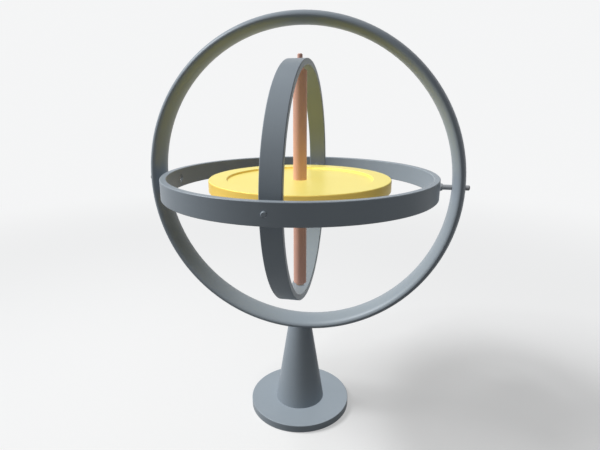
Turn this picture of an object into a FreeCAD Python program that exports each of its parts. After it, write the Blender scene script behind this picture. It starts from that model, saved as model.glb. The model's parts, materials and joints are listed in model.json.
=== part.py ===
import FreeCAD, Part
import math
import os

Vector = FreeCAD.Vector

# A demonstration gyroscope: three nested rings on a pedestal, with a rotor on an axle in the middle.
# The table is at height zero, the outer ring stands across the X axis, and the front faces -Y.
# All sizes are in millimetres.

# Base and column
base_radius = 36.3
base_top = 5.4                  # top face of the base above the table
base_lift = 0.2                 # the pad holds the base plate this far off the table
base_edge = 0.25                # chamfer on the base's edges
pad_radius = 34.0
pad_recess = 0.6                # depth of the pocket that holds the pad
column_height = 58.6            # from the base's top to the lowest point of the outer ring
column_foot_radius = 17.7
column_neck_step = 1.5          # the column's top is this much inside the ring's edge, all round

# Outer ring, oval in section
outer_ring_radius = 101.5       # to the middle of the section
outer_ring_half_depth = 4.0     # half the section, measured towards the middle of the ring
outer_ring_half_width = 9.95    # half the section, measured from front to back

# Middle ring, a flat band that lies level
middle_gap = 7.6                # from the outer ring in to the middle ring
middle_ring_wall = 3.95
middle_ring_height = 12.6

# Inner ring, a flat band that stands upright
inner_gap = 7.95                # from the middle ring in to the inner ring
inner_ring_wall = 3.9
inner_ring_width = 12.4
band_edge = 0.35                # chamfer on the edges of both flat bands

# Rotor
rotor_gap = 13.9                # from the inner ring in to the rotor
rotor_thickness = 7.6
rotor_rim_width = 12.0
rotor_recess = 1.5              # how far the web lies below the rim, on each face
rotor_edge = 0.6                # rounding on the rim's edges
recess_corner = 0.7             # rounding at the foot of the rim

# Spin axle
axle_radius = 4.5
axle_end_gap = 1.9              # from the inner ring to the ends of the axle's thick part, on average
axle_drop = 0.45                # the axle rests on its lower bearing, so it lies this far below the centre
axle_edge = 1.0                 # chamfer on the ends of the thick part
journal_radius = 1.65
axle_stub = 3.3                 # journal outside the inner ring, on average
stub_chamfer = 0.5
key_width = 2.0
key_depth = 2.0                 # half of it sits in the axle and half in the rotor
key_length = 3.6

# Pivot pins, bushes and thrust washers
pin_radius = 1.65
outer_pin_stub = 2.7            # pin seen outside the outer ring
middle_pin_stub = 0.9           # pin seen outside the middle ring
shoulder_step = 0.6             # the pin's shoulder stands this much proud of the pin
shoulder_length = 0.9
bush_wall = 1.4
bush_proud = 0.3                # the bush's thrust face stands this far off its ring
bush_recess = 0.15              # its other end lies this far inside the ring's surface
bush_edge = 0.2
washer_thickness = 0.5
washer_step = 0.4               # the washer stands this much proud of what it sits against

# Hidden fasteners
screw_radius = 3.0
screw_reach = 18.0              # length of screw inside the column
screw_head_step = 2.8
screw_head_land = 0.3           # straight edge of the countersunk head
socket_radius = 2.3             # corner radius of the hexagon socket
socket_depth = 1.9
stud_radius = 2.5
stud_in_ring = 5.0
stud_in_column = 11.0

# Clearances
running_fit = 0.05              # radial, between a bush and what turns in it
thrust_fit = 0.12               # along the axis, between a thrust washer and a bush
close_fit = 0.02                # radial, between pieces that are fixed together
loose_fit = 0.2                 # radial, round the screw in the base
hole_run_out = 1.0              # a blind hole is this much deeper than what sits in it

# Sizes that follow from those above
outer_ring_outer = outer_ring_radius + outer_ring_half_depth
outer_ring_inner = outer_ring_radius - outer_ring_half_depth
middle_ring_outer = outer_ring_inner - middle_gap
middle_ring_inner = middle_ring_outer - middle_ring_wall
inner_ring_outer = middle_ring_inner - inner_gap
inner_ring_inner = inner_ring_outer - inner_ring_wall
rotor_radius = inner_ring_inner - rotor_gap
recess_radius = rotor_radius - rotor_rim_width
axle_half_length = inner_ring_inner - axle_end_gap
pin_bush_radius = pin_radius + bush_wall
axle_bush_radius = journal_radius + bush_wall
column_neck_radius = outer_ring_half_width - column_neck_step
column_top = base_top + column_height
gyro_height = column_top + outer_ring_outer

centre = Vector(0, 0, gyro_height)
origin = Vector(0, 0, 0)
right = Vector(1, 0, 0)
left = Vector(-1, 0, 0)
front = Vector(0, -1, 0)
back = Vector(0, 1, 0)
up = Vector(0, 0, 1)
down = Vector(0, 0, -1)


def turned(outline):
    # Turns a closed outline of (radius, height) points about the Z axis.
    corners = [Vector(radius, 0, height) for radius, height in outline]
    corners.append(corners[0])
    return Part.Face(Part.makePolygon(corners)).revolve(origin, up, 360)


def rod(radius, low, high):
    return Part.makeCylinder(radius, high - low, Vector(0, 0, low))


def tube(bore, radius, low, high, edge):
    # A plain bush or washer with chamfered outer edges.
    outline = [(bore, low), (radius - edge, low), (radius, low + edge)]
    outline += [(radius, high - edge), (radius - edge, high), (bore, high)]
    return turned(outline)


def band(inner, outer, width):
    # A flat ring about the Z axis, with chamfered edges.
    half = width / 2
    cut = band_edge
    outline = [(inner + cut, -half), (outer - cut, -half), (outer, cut - half), (outer, half - cut)]
    outline += [(outer - cut, half), (inner + cut, half), (inner, half - cut), (inner, cut - half)]
    return turned(outline)


def aimed(shape, direction):
    # Turns a shape made along +Z about the origin to point from the gyro's centre in a direction.
    turn = FreeCAD.Rotation(up, direction)
    placed = shape.copy()
    placed.Placement = FreeCAD.Placement(centre, turn)
    return placed


def rounded(shape, radius, height, size):
    # Rounds the circular edge of a turned piece that has this radius at this height.
    chosen = []
    for edge in shape.Edges:
        circle = edge.Curve
        if isinstance(circle, Part.Circle) and abs(circle.Radius - radius) < 0.001:
            if abs(circle.Center.z - height) < 0.001:
                chosen.append(edge)
    return shape.makeFillet(size, chosen)


def lowered(shape):
    # Places a piece of the rotor, which lies a little below the gyro's centre.
    placed = aimed(shape, up)
    placed.translate(down * axle_drop)
    return placed


def oval_ring(grown):
    # The outer ring about the Y axis; grown adds a gap all round its section.
    half_depth = outer_ring_half_depth + grown
    half_width = outer_ring_half_width + grown
    middle = up * outer_ring_radius
    oval = Part.Ellipse(middle + back * half_width, middle + up * half_depth, middle)
    outer_half = Part.ArcOfEllipse(oval, 0, math.pi).toShape()
    inner_half = Part.ArcOfEllipse(oval, math.pi, 2 * math.pi).toShape()
    ring = Part.Face(Part.Wire([outer_half, inner_half])).revolve(origin, back, 360)
    ring.translate(centre)
    return ring


def hexagon(corner_radius, low, high):
    turn = FreeCAD.Rotation(up, 60)
    corner = Vector(corner_radius, 0, low)
    corners = [corner]
    for side in range(6):
        corner = turn.multVec(corner)
        corners.append(corner)
    return Part.Face(Part.makePolygon(corners)).extrude(up * (high - low))


def make_base_plate():
    underside = base_lift
    pocket_floor = underside + pad_recess
    plate = turned([
        (0, underside), (base_radius - base_edge, underside), (base_radius, underside + base_edge),
        (base_radius, base_top - base_edge), (base_radius - base_edge, base_top), (0, base_top)])
    pocket = rod(pad_radius + close_fit, underside, pocket_floor)
    bore = rod(screw_radius + loose_fit, pocket_floor, base_top)
    head_radius = screw_radius + screw_head_step + loose_fit
    cone_start = pocket_floor + screw_head_land + loose_fit
    countersink = turned([
        (0, pocket_floor), (head_radius, pocket_floor), (head_radius, cone_start),
        (head_radius - screw_head_step, cone_start + screw_head_step), (0, cone_start + screw_head_step)])
    return plate.cut(pocket).cut(bore).cut(countersink)


def make_base_pad():
    return rod(pad_radius, 0, base_lift + pad_recess)


def make_base_screw():
    head_face = base_lift + pad_recess + loose_fit
    cone_start = head_face + screw_head_land
    cone_end = cone_start + screw_head_step
    tip = base_top + screw_reach
    head_radius = screw_radius + screw_head_step
    screw = turned([
        (0, head_face), (head_radius, head_face), (head_radius, cone_start), (screw_radius, cone_end),
        (screw_radius, tip - stub_chamfer), (screw_radius - stub_chamfer, tip), (0, tip)])
    return screw.cut(hexagon(socket_radius, head_face, head_face + socket_depth))


def make_column():
    # The neck radius is at the ring's lowest point, and the taper goes on up into the ring.
    taper = (column_foot_radius - column_neck_radius) / column_height
    blank_top = gyro_height - outer_ring_radius
    top_radius = column_neck_radius - taper * (blank_top - column_top)
    blank = turned([
        (0, base_top), (column_foot_radius, base_top), (top_radius, blank_top), (0, blank_top)])
    screw_hole = rod(screw_radius + close_fit, base_top, base_top + screw_reach + hole_run_out)
    stud_hole = rod(stud_radius + close_fit, column_top - stud_in_column - hole_run_out, blank_top)
    return blank.cut(oval_ring(close_fit)).cut(screw_hole).cut(stud_hole)


def make_ring_stud():
    low = column_top - stud_in_column
    high = column_top + stud_in_ring
    narrow = stud_radius - stub_chamfer
    return turned([
        (0, low), (narrow, low), (stud_radius, low + stub_chamfer),
        (stud_radius, high - stub_chamfer), (narrow, high), (0, high)])


def make_outer_ring():
    ring = oval_ring(0)
    pin_hole = rod(pin_radius + close_fit, outer_ring_inner - outer_ring_half_depth, outer_ring_outer + 1)
    stud_hole = rod(stud_radius + close_fit, column_top - 1, column_top + stud_in_ring + hole_run_out / 2)
    return ring.cut(aimed(pin_hole, right)).cut(aimed(pin_hole, left)).cut(stud_hole)


def make_middle_ring():
    ring = aimed(band(middle_ring_inner, middle_ring_outer, middle_ring_height), up)
    bush_hole = rod(pin_bush_radius + close_fit, inner_ring_outer, outer_ring_inner)
    pin_hole = rod(pin_radius + close_fit, inner_ring_outer, outer_ring_inner)
    for direction in (left, right):
        ring = ring.cut(aimed(bush_hole, direction))
    for direction in (front, back):
        ring = ring.cut(aimed(pin_hole, direction))
    return ring


def make_inner_ring():
    ring = aimed(band(inner_ring_inner, inner_ring_outer, inner_ring_width), right)
    pin_bush_hole = rod(pin_bush_radius + close_fit, rotor_radius, middle_ring_inner)
    axle_bush_hole = rod(axle_bush_radius + close_fit, rotor_radius, middle_ring_inner)
    for direction in (front, back):
        ring = ring.cut(aimed(pin_bush_hole, direction))
    for direction in (up, down):
        ring = ring.cut(aimed(axle_bush_hole, direction))
    return ring


def pivot_bush(ring_inner, ring_outer):
    # A bush for a pin that comes in from outside its ring, so its thrust face is the outer one.
    bore = pin_radius + running_fit
    return tube(bore, pin_bush_radius, ring_inner + bush_recess, ring_outer + bush_proud, bush_edge)


def pivot_washer(ring_outer):
    low = ring_outer + bush_proud + thrust_fit
    radius = pin_radius + shoulder_step + washer_step
    return tube(pin_radius + close_fit, radius, low, low + washer_thickness, bush_edge / 2)


def pivot_pin(ring_inner, ring_outer, tail_end):
    # The pin's journal turns in the ring's bush, and its tail is fixed in the next ring out.
    tip = ring_inner + 2 * bush_recess
    shoulder_start = ring_outer + bush_proud + thrust_fit + washer_thickness
    shoulder_end = shoulder_start + shoulder_length
    shoulder_radius = pin_radius + shoulder_step
    narrow = pin_radius - stub_chamfer
    return turned([
        (0, tip), (narrow, tip), (pin_radius, tip + stub_chamfer), (pin_radius, shoulder_start),
        (shoulder_radius, shoulder_start), (shoulder_radius, shoulder_end), (pin_radius, shoulder_end),
        (pin_radius, tail_end - stub_chamfer), (narrow, tail_end), (0, tail_end)])


def axle_bush():
    # The axle's thrust washers bear on the inner ends of its bushes.
    bore = journal_radius + running_fit
    low = inner_ring_inner - bush_proud
    high = inner_ring_outer - bush_recess
    return tube(bore, axle_bush_radius, low, high, bush_edge)


def axle_washer(low):
    # The lower washer is the thinner one, since the axle lies a little low.
    radius = axle_bush_radius - washer_step
    high = inner_ring_inner - bush_proud - thrust_fit
    return tube(journal_radius + close_fit, radius, low, high, bush_edge / 2)


def key_block(slack):
    # The key stands at the back of the axle, against the lower face of the rotor's web.
    width = key_width + 2 * slack
    depth = key_depth + 2 * slack
    web_underside = rotor_recess - rotor_thickness / 2
    corner = Vector(-width / 2, axle_radius - depth / 2, web_underside)
    return Part.makeBox(width, depth, key_length + slack, corner)


def make_spin_axle():
    half = axle_half_length
    end = inner_ring_outer + axle_stub
    narrow = journal_radius - stub_chamfer
    upper = [
        (axle_radius, half - axle_edge), (axle_radius - axle_edge, half), (journal_radius, half),
        (journal_radius, end - stub_chamfer), (narrow, end), (0, end)]
    lower = [(radius, -height) for radius, height in reversed(upper)]
    return turned(lower + upper).cut(key_block(close_fit))


def make_rotor_disc():
    half = rotor_thickness / 2
    web = half - rotor_recess
    bore = axle_radius + close_fit
    disc = turned([
        (bore, -web), (recess_radius, -web), (recess_radius, -half), (rotor_radius, -half),
        (rotor_radius, half), (recess_radius, half), (recess_radius, web), (bore, web)])
    for side in (-1, 1):
        disc = rounded(disc, recess_radius, side * web, recess_corner)
        disc = rounded(disc, recess_radius, side * half, rotor_edge)
        disc = rounded(disc, rotor_radius, side * half, rotor_edge)
    keyway_run_out = rod(axle_radius + key_depth, -half, -web)
    return disc.cut(key_block(close_fit)).cut(keyway_run_out)


outer_pin = pivot_pin(middle_ring_inner, middle_ring_outer, outer_ring_outer + outer_pin_stub)
outer_washer = pivot_washer(middle_ring_outer)
middle_bush = pivot_bush(middle_ring_inner, middle_ring_outer)
middle_pin = pivot_pin(inner_ring_inner, inner_ring_outer, middle_ring_outer + middle_pin_stub)
middle_washer = pivot_washer(inner_ring_outer)
inner_bush = pivot_bush(inner_ring_inner, inner_ring_outer)

pieces = {
    "base_plate": make_base_plate(),
    "base_pad": make_base_pad(),
    "base_screw": make_base_screw(),
    "column": make_column(),
    "ring_stud": make_ring_stud(),
    "outer_ring": make_outer_ring(),
    "outer_pin_left": aimed(outer_pin, left),
    "outer_pin_right": aimed(outer_pin, right),
    "outer_washer_left": aimed(outer_washer, left),
    "outer_washer_right": aimed(outer_washer, right),
    "middle_ring": make_middle_ring(),
    "middle_bush_left": aimed(middle_bush, left),
    "middle_bush_right": aimed(middle_bush, right),
    "middle_pin_front": aimed(middle_pin, front),
    "middle_pin_back": aimed(middle_pin, back),
    "middle_washer_front": aimed(middle_washer, front),
    "middle_washer_back": aimed(middle_washer, back),
    "inner_ring": make_inner_ring(),
    "inner_bush_front": aimed(inner_bush, front),
    "inner_bush_back": aimed(inner_bush, back),
    "inner_bush_top": aimed(axle_bush(), up),
    "inner_bush_bottom": aimed(axle_bush(), down),
    "spin_axle": lowered(make_spin_axle()),
    "axle_washer_top": aimed(axle_washer(axle_half_length - axle_drop), up),
    "axle_washer_bottom": aimed(axle_washer(axle_half_length + axle_drop), down),
    "rotor_disc": lowered(make_rotor_disc()),
    "rotor_key": lowered(key_block(0)),
}

os.makedirs("parts", exist_ok=True)
for name, shape in pieces.items():
    solids = shape.Solids
    solid = solids[0] if len(solids) == 1 else Part.makeCompound(solids)
    solid.exportStep("parts/" + name + ".step")
    print(name, len(solids), shape.isValid(), round(shape.Volume, 1))
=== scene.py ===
import json
import math
import bpy
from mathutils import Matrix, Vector

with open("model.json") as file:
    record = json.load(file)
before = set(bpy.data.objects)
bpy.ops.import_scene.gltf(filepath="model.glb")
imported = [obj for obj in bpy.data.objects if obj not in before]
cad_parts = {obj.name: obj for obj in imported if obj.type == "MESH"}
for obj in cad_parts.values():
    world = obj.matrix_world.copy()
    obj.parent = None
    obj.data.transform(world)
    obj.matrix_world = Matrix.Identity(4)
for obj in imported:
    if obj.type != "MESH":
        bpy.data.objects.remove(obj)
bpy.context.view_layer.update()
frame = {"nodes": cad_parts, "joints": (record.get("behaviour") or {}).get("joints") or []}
nodes = frame["nodes"]
scene = bpy.context.scene

# the three rings share one centre, which is where every joint sits
gyroCentre = Vector(frame["joints"][0]["pos_m"])


def toLinear(red, green, blue):
    # screen colour 0-255 to the linear colour that Blender's sockets take
    out = []
    for value in (red, green, blue):
        v = value / 255
        out.append(v / 12.92 if v <= 0.04045 else ((v + 0.055) / 1.055) ** 2.4)
    return (*out, 1.0)


# small node helpers

def emptyMaterial(name):
    mat = bpy.data.materials.new(name)
    mat.use_nodes = True
    tree = mat.node_tree
    for node in list(tree.nodes):
        tree.nodes.remove(node)
    return mat, tree


def startMaterial(name):
    mat, tree = emptyMaterial(name)
    shader = tree.nodes.new("ShaderNodeBsdfPrincipled")
    output = tree.nodes.new("ShaderNodeOutputMaterial")
    tree.links.new(shader.outputs["BSDF"], output.inputs["Surface"])
    return mat, tree, shader


def put(tree, socket, value):
    if hasattr(value, "links"):
        tree.links.new(value, socket)
    else:
        socket.default_value = value


def calc(tree, operation, first, second=None, clamp=False):
    node = tree.nodes.new("ShaderNodeMath")
    node.operation = operation
    node.use_clamp = clamp
    put(tree, node.inputs[0], first)
    if second is not None:
        put(tree, node.inputs[1], second)
    return node.outputs[0]


def vectorCalc(tree, operation, first, second=None, scale=None):
    node = tree.nodes.new("ShaderNodeVectorMath")
    node.operation = operation
    put(tree, node.inputs[0], first)
    if second is not None:
        put(tree, node.inputs[1], second)
    if scale is not None:
        put(tree, node.inputs["Scale"], scale)
    return node.outputs["Value" if operation in ("DOT_PRODUCT", "LENGTH") else "Vector"]


def joinXyz(tree, x, y, z):
    node = tree.nodes.new("ShaderNodeCombineXYZ")
    for i, value in enumerate((x, y, z)):
        put(tree, node.inputs[i], value)
    return node.outputs[0]


def splitXyz(tree, vector):
    node = tree.nodes.new("ShaderNodeSeparateXYZ")
    put(tree, node.inputs[0], vector)
    return node.outputs


def noise(tree, vector, scale, detail, roughness=0.5):
    node = tree.nodes.new("ShaderNodeTexNoise")
    put(tree, node.inputs["Vector"], vector)
    node.inputs["Scale"].default_value = scale
    node.inputs["Detail"].default_value = detail
    node.inputs["Roughness"].default_value = roughness
    return node.outputs["Fac"]


def remap(tree, value, low, high, newLow, newHigh, smooth=False):
    node = tree.nodes.new("ShaderNodeMapRange")
    node.interpolation_type = "SMOOTHSTEP" if smooth else "LINEAR"
    put(tree, node.inputs["Value"], value)
    for socket, number in (("From Min", low), ("From Max", high), ("To Min", newLow), ("To Max", newHigh)):
        put(tree, node.inputs[socket], number)
    return node.outputs["Result"]


def mixColour(tree, factor, first, second):
    # inputs 6 and 7 and output 2 are the node's colour sockets
    node = tree.nodes.new("ShaderNodeMix")
    node.data_type = "RGBA"
    put(tree, node.inputs["Factor"], factor)
    put(tree, node.inputs[6], first)
    put(tree, node.inputs[7], second)
    return node.outputs[2]


def bump(tree, height, strength, distance, normal=None):
    node = tree.nodes.new("ShaderNodeBump")
    node.inputs["Strength"].default_value = strength
    node.inputs["Distance"].default_value = distance
    put(tree, node.inputs["Height"], height)
    if normal is not None:
        put(tree, node.inputs["Normal"], normal)
    return node.outputs["Normal"]


# what all the turned metals share, with lengths in metres
turnedSurface = {
    "driftScale": 9.0,
    "wander": 0.00006,
    "cloudScale": 38.0,
    "markShare": 0.4,
    "cloudShare": 0.6,
    "shadeLow": 0.3,
    "shadeHigh": 0.7,
    "smudgeScale": 22.0,
    "smudgeStart": 0.55,
    "smudgeFull": 0.75,
    "markDepth": 0.00002,
    "edgeSamples": 6,
    "edgeStart": 0.995,
    "edgeFull": 0.90,
    "rimEnd": 0.5,
    "faceStart": 0.8,
}


# turnedCoordinates: how far a point is from a turning axis and along it, so that
# tool marks run in true circles round whatever axis the piece was turned about

def turnedCoordinates(tree, axis, centre):
    place = tree.nodes.new("ShaderNodeTexCoord").outputs["Object"]
    fromCentre = vectorCalc(tree, "SUBTRACT", place, tuple(centre))
    along = vectorCalc(tree, "DOT_PRODUCT", fromCentre, axis)
    alongVector = vectorCalc(tree, "SCALE", axis, scale=along)
    outwards = vectorCalc(tree, "SUBTRACT", fromCentre, alongVector)
    radius = vectorCalc(tree, "LENGTH", outwards)
    tangent = vectorCalc(tree, "CROSS_PRODUCT", axis, outwards)
    tangent = vectorCalc(tree, "NORMALIZE", tangent)
    return {"place": fromCentre, "radius": radius, "along": along, "tangent": tangent}


def toolMarks(tree, turned, pitch):
    # fine rings: noise that changes with radius and height only, wandering a little round the circle
    drift = noise(tree, turned["place"], turnedSurface["driftScale"], 1.0)
    drift = calc(tree, "MULTIPLY", drift, turnedSurface["wander"])
    radius = calc(tree, "ADD", turned["radius"], drift)
    marks = joinXyz(tree, radius, turned["along"], 0.0)
    return noise(tree, marks, 1 / pitch, 3.0, 0.6)


def edgeMask(tree, width):
    # 1 along the edges, which are painted lighter for wear and as a painted highlight, 0 on open faces
    start, full = turnedSurface["edgeStart"], turnedSurface["edgeFull"]
    soft = tree.nodes.new("ShaderNodeBevel")
    soft.samples = turnedSurface["edgeSamples"]
    soft.inputs["Radius"].default_value = width
    sharp = tree.nodes.new("ShaderNodeNewGeometry").outputs["Normal"]
    same = vectorCalc(tree, "DOT_PRODUCT", soft.outputs["Normal"], sharp)
    return remap(tree, same, start, full, 0.0, 1.0, smooth=True), soft.outputs["Normal"]


def turnedMetal(name, look, axis, centre):
    shared = turnedSurface
    mat, tree, shader = startMaterial(name)
    turned = turnedCoordinates(tree, axis, centre)
    fine = toolMarks(tree, turned, look["pitch"])
    cloud = noise(tree, turned["place"], shared["cloudScale"], 3.0, 0.55)
    edges, softNormal = edgeMask(tree, look["edgeWidth"])

    fineShade = calc(tree, "MULTIPLY", fine, shared["markShare"])
    cloudShade = calc(tree, "MULTIPLY", cloud, shared["cloudShare"])
    shade = calc(tree, "ADD", fineShade, cloudShade)
    shade = remap(tree, shade, shared["shadeLow"], shared["shadeHigh"], 0.0, 1.0)
    body = mixColour(tree, shade, look["dark"], look["light"])
    if "rim" in look:
        # painted light: the flat turned faces are painted paler, as if lit, and the rim a deeper colour,
        # as if in shade
        facing = splitXyz(tree, tree.nodes.new("ShaderNodeTexCoord").outputs["Normal"])[2]
        facing = calc(tree, "ABSOLUTE", facing)
        paintedLitFace = remap(tree, facing, shared["rimEnd"], shared["faceStart"], 0.0, 1.0)
        body = mixColour(tree, paintedLitFace, look["rim"], body)
    # the lighter edge colour is partly wear and partly a painted highlight along the edges
    wornAndHighlitEdges = calc(tree, "MULTIPLY", edges, look["edgeWearAndHighlight"])
    put(tree, shader.inputs["Base Color"], mixColour(tree, wornAndHighlitEdges, body, look["edge"]))

    spread = calc(tree, "MULTIPLY", calc(tree, "SUBTRACT", fine, 0.5), look["roughSpread"])
    smudge = noise(tree, turned["place"], shared["smudgeScale"], 4.0, 0.6)
    smudge = remap(
        tree, smudge, shared["smudgeStart"], shared["smudgeFull"], 0.0, look["smudge"], smooth=True)
    rough = calc(tree, "ADD", look["roughness"], spread)
    put(tree, shader.inputs["Roughness"], calc(tree, "ADD", rough, smudge, clamp=True))
    put(tree, shader.inputs["Normal"], bump(tree, fine, look["bump"], shared["markDepth"], softNormal))
    put(tree, shader.inputs["Tangent"], turned["tangent"])
    shader.inputs["Metallic"].default_value = look["metallic"]
    shader.inputs["Anisotropic"].default_value = look["anisotropic"]
    shader.inputs["Specular IOR Level"].default_value = look["specular"]
    shader.inputs["Specular Tint"].default_value = look.get("grazing", (1, 1, 1, 1))
    return mat


# the axes that the pieces were turned about
aboutX = (1.0, 0.0, 0.0)
aboutY = (0.0, 1.0, 0.0)
aboutZ = (0.0, 0.0, 1.0)

# satin grey metal of the rings, the column and the base; like the photo, it is hardly metallic
satinGrey = {
    "dark": toLinear(145, 155, 164),
    "light": toLinear(150, 160, 169),
    # edge: the lighter colour along edges, partly wear and partly a painted highlight
    "edge": toLinear(166, 175, 183),
    "specular": 0.12,
    "metallic": 0.04, "roughness": 0.4, "roughSpread": 0.04, "smudge": 0.03,
    "anisotropic": 0.2, "bump": 0.02, "edgeWearAndHighlight": 0.5,
    "pitch": 0.00022, "edgeWidth": 0.0003,
}
pinSteel = dict(
    satinGrey, dark=toLinear(162, 165, 168), light=toLinear(168, 171, 174), edge=toLinear(182, 185, 188))
bushSteel = dict(satinGrey, dark=toLinear(136, 145, 153), light=toLinear(142, 151, 159))
washerBronze = dict(
    satinGrey, dark=toLinear(176, 142, 100), light=toLinear(188, 154, 112), edge=toLinear(214, 184, 142),
    specular=0.3, metallic=0.2)
darkSteel = dict(
    satinGrey, dark=toLinear(52, 52, 54), light=toLinear(64, 64, 66), edge=toLinear(110, 110, 112))
rotorBrass = {
    "dark": toLinear(254, 236, 130),
    "light": toLinear(255, 240, 138),
    "edge": toLinear(255, 246, 168),
    # the rim's deeper colour is painted shade, set against the flat faces' paler painted light
    "rim": toLinear(255, 217, 110),
    "grazing": toLinear(255, 246, 200),
    "specular": 0.15,
    "metallic": 0.08, "roughness": 0.36, "roughSpread": 0.05, "smudge": 0.03,
    "anisotropic": 0.3, "bump": 0.03, "edgeWearAndHighlight": 0.4,
    "pitch": 0.00026, "edgeWidth": 0.0004,
}
axleCopper = {
    "dark": toLinear(226, 176, 160),
    "light": toLinear(230, 182, 166),
    "edge": toLinear(246, 210, 190),
    "specular": 0.06,
    "metallic": 0.04, "roughness": 0.36, "roughSpread": 0.04, "smudge": 0.02,
    "anisotropic": 0.2, "bump": 0.02, "edgeWearAndHighlight": 0.3,
    "pitch": 0.0002, "edgeWidth": 0.0003,
}


def dress(material, *names):
    for name in names:
        piece = nodes[name]
        piece.data.materials.clear()
        piece.data.materials.append(material)


dress(turnedMetal("satinOuterRing", satinGrey, aboutY, gyroCentre), "outer_ring")
dress(turnedMetal("satinMiddleRing", satinGrey, aboutZ, gyroCentre), "middle_ring")
dress(turnedMetal("satinInnerRing", satinGrey, aboutX, gyroCentre), "inner_ring")
dress(turnedMetal("satinPedestal", satinGrey, aboutZ, (0, 0, 0)), "base_plate", "column")
print("rings and pedestal dressed")

dress(turnedMetal("turnedBrass", rotorBrass, aboutZ, gyroCentre), "rotor_disc")
dress(turnedMetal("turnedCopper", axleCopper, aboutZ, gyroCentre), "spin_axle")
print("rotor and axle dressed")

pivotPieces = (
    ("sidePinSteel", pinSteel, aboutX, "outer_pin_left", "outer_pin_right"),
    ("frontPinSteel", satinGrey, aboutY, "middle_pin_front", "middle_pin_back"),
    ("sideBushSteel", bushSteel, aboutX, "middle_bush_left", "middle_bush_right"),
    ("frontBushSteel", bushSteel, aboutY, "inner_bush_front", "inner_bush_back"),
    ("axleBushSteel", bushSteel, aboutZ, "inner_bush_top", "inner_bush_bottom"),
    ("sideWasherSteel", pinSteel, aboutX, "outer_washer_left", "outer_washer_right"),
    ("frontWasherSteel", pinSteel, aboutY, "middle_washer_front", "middle_washer_back"),
    ("axleWasherBronze", washerBronze, aboutZ, "axle_washer_top", "axle_washer_bottom"),
)
for materialName, look, axis, *pair in pivotPieces:
    dress(turnedMetal(materialName, look, axis, gyroCentre), *pair)
dress(turnedMetal("blackenedSteel", darkSteel, aboutZ, (0, 0, 0)), "base_screw", "ring_stud", "rotor_key")


def padRubber():
    rubber = {
        "dark": toLinear(24, 24, 25),
        "light": toLinear(38, 38, 39),
        "grainScale": 900.0,
        "grainDepth": 0.0001,
        "bump": 0.3,
        "smoothest": 0.7,
        "roughest": 0.9,
    }
    mat, tree, shader = startMaterial("padRubber")
    place = tree.nodes.new("ShaderNodeTexCoord").outputs["Object"]
    grain = noise(tree, place, rubber["grainScale"], 3.0, 0.6)
    rough = remap(tree, grain, 0.3, 0.7, rubber["smoothest"], rubber["roughest"])
    put(tree, shader.inputs["Base Color"], mixColour(tree, grain, rubber["dark"], rubber["light"]))
    put(tree, shader.inputs["Roughness"], rough)
    put(tree, shader.inputs["Normal"], bump(tree, grain, rubber["bump"], rubber["grainDepth"]))
    return mat


dress(padRubber(), "base_pad")
print("small pieces dressed")

# floor, light and camera

studio = {
    "pale": (0.91, 0.915, 0.92, 1.0),
    "ambient": (0.19, 0.19, 0.19, 1.0),
    "floorPaint": (0.88, 0.885, 0.89, 1.0),
    "floorBounce": (0.17, 0.17, 0.17, 1.0),
    "floorRadius": 6.0,
    "floorSides": 128,
    "nearGlow": 0.45,
    "fadeStart": 0.12,
    "fadeEnd": 0.9,
}


def backgroundRays(tree):
    path = tree.nodes.new("ShaderNodeLightPath")
    seen = calc(tree, "ADD", path.outputs["Is Camera Ray"], path.outputs["Is Glossy Ray"])
    return calc(tree, "ADD", seen, path.outputs["Is Transmission Ray"], clamp=True)


def makeFloor():
    # matt where the object stands, and the plain background colour farther out
    bpy.ops.mesh.primitive_circle_add(
        vertices=studio["floorSides"], radius=studio["floorRadius"], fill_type="NGON")
    floor = bpy.context.object
    floor.name = "studioFloor"
    mat, tree = emptyMaterial("paleFloor")
    output = tree.nodes.new("ShaderNodeOutputMaterial")
    seen = backgroundRays(tree)
    matt = tree.nodes.new("ShaderNodeBsdfDiffuse")
    put(tree, matt.inputs["Color"], mixColour(tree, seen, studio["floorBounce"], studio["floorPaint"]))
    glow = tree.nodes.new("ShaderNodeEmission")
    glow.inputs["Color"].default_value = studio["pale"]
    place = tree.nodes.new("ShaderNodeTexCoord").outputs["Object"]
    distance = vectorCalc(tree, "LENGTH", place)
    fade = remap(
        tree, distance, studio["fadeStart"], studio["fadeEnd"], studio["nearGlow"], 1.0, smooth=True)
    mix = tree.nodes.new("ShaderNodeMixShader")
    put(tree, mix.inputs[0], calc(tree, "MULTIPLY", fade, seen))
    tree.links.new(matt.outputs[0], mix.inputs[1])
    tree.links.new(glow.outputs[0], mix.inputs[2])
    tree.links.new(mix.outputs[0], output.inputs["Surface"])
    floor.data.materials.append(mat)
    return floor


def makeWorld():
    world = bpy.data.worlds.new("softStudio")
    scene.world = world
    world.use_nodes = True
    tree = world.node_tree
    colour = mixColour(tree, backgroundRays(tree), studio["ambient"], studio["pale"])
    put(tree, tree.nodes["Background"].inputs["Color"], colour)


# lamp places are measured from the rings' centre, and the object and the floor share the key's place
lamps = {
    "size": 0.3,
    "keyPlace": (-0.443, -0.058, 0.460),
    "keyWatts": 11.3,
    "floorWatts": 10.0,
    "rimPlace": (-0.20, -0.60, 0.02),
    "rimWatts": 3.2,
}


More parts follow.
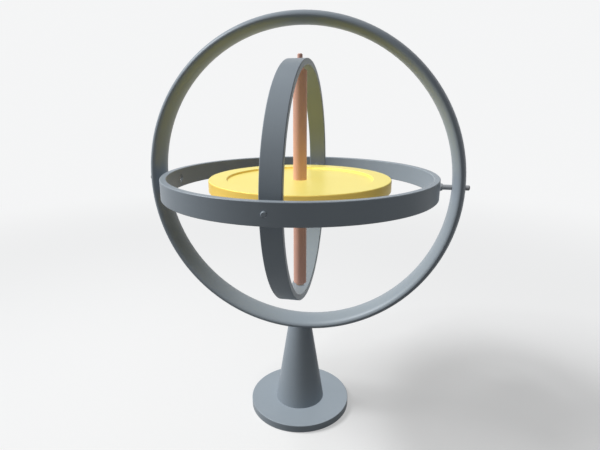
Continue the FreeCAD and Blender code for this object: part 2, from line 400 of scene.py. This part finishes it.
def softLamp(name, place, watts, lit, shadow):
    # lights only the objects in lit, and its light doesn't fall off across them
    data = bpy.data.lights.new(name, "AREA")
    data.shape = "DISK"
    data.size = lamps["size"]
    data.energy = watts
    data.use_shadow = shadow
    data.use_nodes = True
    tree = data.node_tree
    falloff = tree.nodes.new("ShaderNodeLightFalloff")
    falloff.inputs["Strength"].default_value = 1.0
    tree.links.new(falloff.outputs["Constant"], tree.nodes["Emission"].inputs["Strength"])
    lamp = bpy.data.objects.new(name, data)
    scene.collection.objects.link(lamp)
    fullPlace = gyroCentre + Vector(place)
    lamp.location = fullPlace
    lamp.rotation_euler = (gyroCentre - fullPlace).to_track_quat("-Z", "Y").to_euler()
    receivers = bpy.data.collections.new(name + "Receivers")
    for thing in lit:
        receivers.objects.link(thing)
    lamp.light_linking.receiver_collection = receivers


def makeCamera():
    view = {
        "place": (0.057939, -0.292298, 0.222931),
        "pitchDown": 15.621,
        "turn": 11.210,
        "focalPixels": 449.65,
        "imageWidth": 600,
        "sensorWidth": 36.0,
        "nearest": 0.01,
        "farthest": 50.0,
    }
    data = bpy.data.cameras.new("photoCamera")
    data.sensor_fit = "HORIZONTAL"
    data.sensor_width = view["sensorWidth"]
    data.lens = view["focalPixels"] / view["imageWidth"] * data.sensor_width
    data.clip_start = view["nearest"]
    data.clip_end = view["farthest"]
    camera = bpy.data.objects.new("photoCamera", data)
    scene.collection.objects.link(camera)
    camera.location = view["place"]
    camera.rotation_euler = (math.radians(90 - view["pitchDown"]), 0, math.radians(view["turn"]))
    scene.camera = camera


floor = makeFloor()
makeWorld()
# the key lights the object without shadows, and the floor lamp gives the object's shadow
softLamp("keyLamp", lamps["keyPlace"], lamps["keyWatts"], nodes.values(), shadow=False)
softLamp("floorLamp", lamps["keyPlace"], lamps["floorWatts"], [floor], shadow=True)
# a weak fill from the front for the rotor's rim, which the middle ring would keep dark
softLamp("rimLamp", lamps["rimPlace"], lamps["rimWatts"], [nodes["rotor_disc"]], shadow=False)
makeCamera()
scene.view_settings.view_transform = "Standard"
print("stage lit")
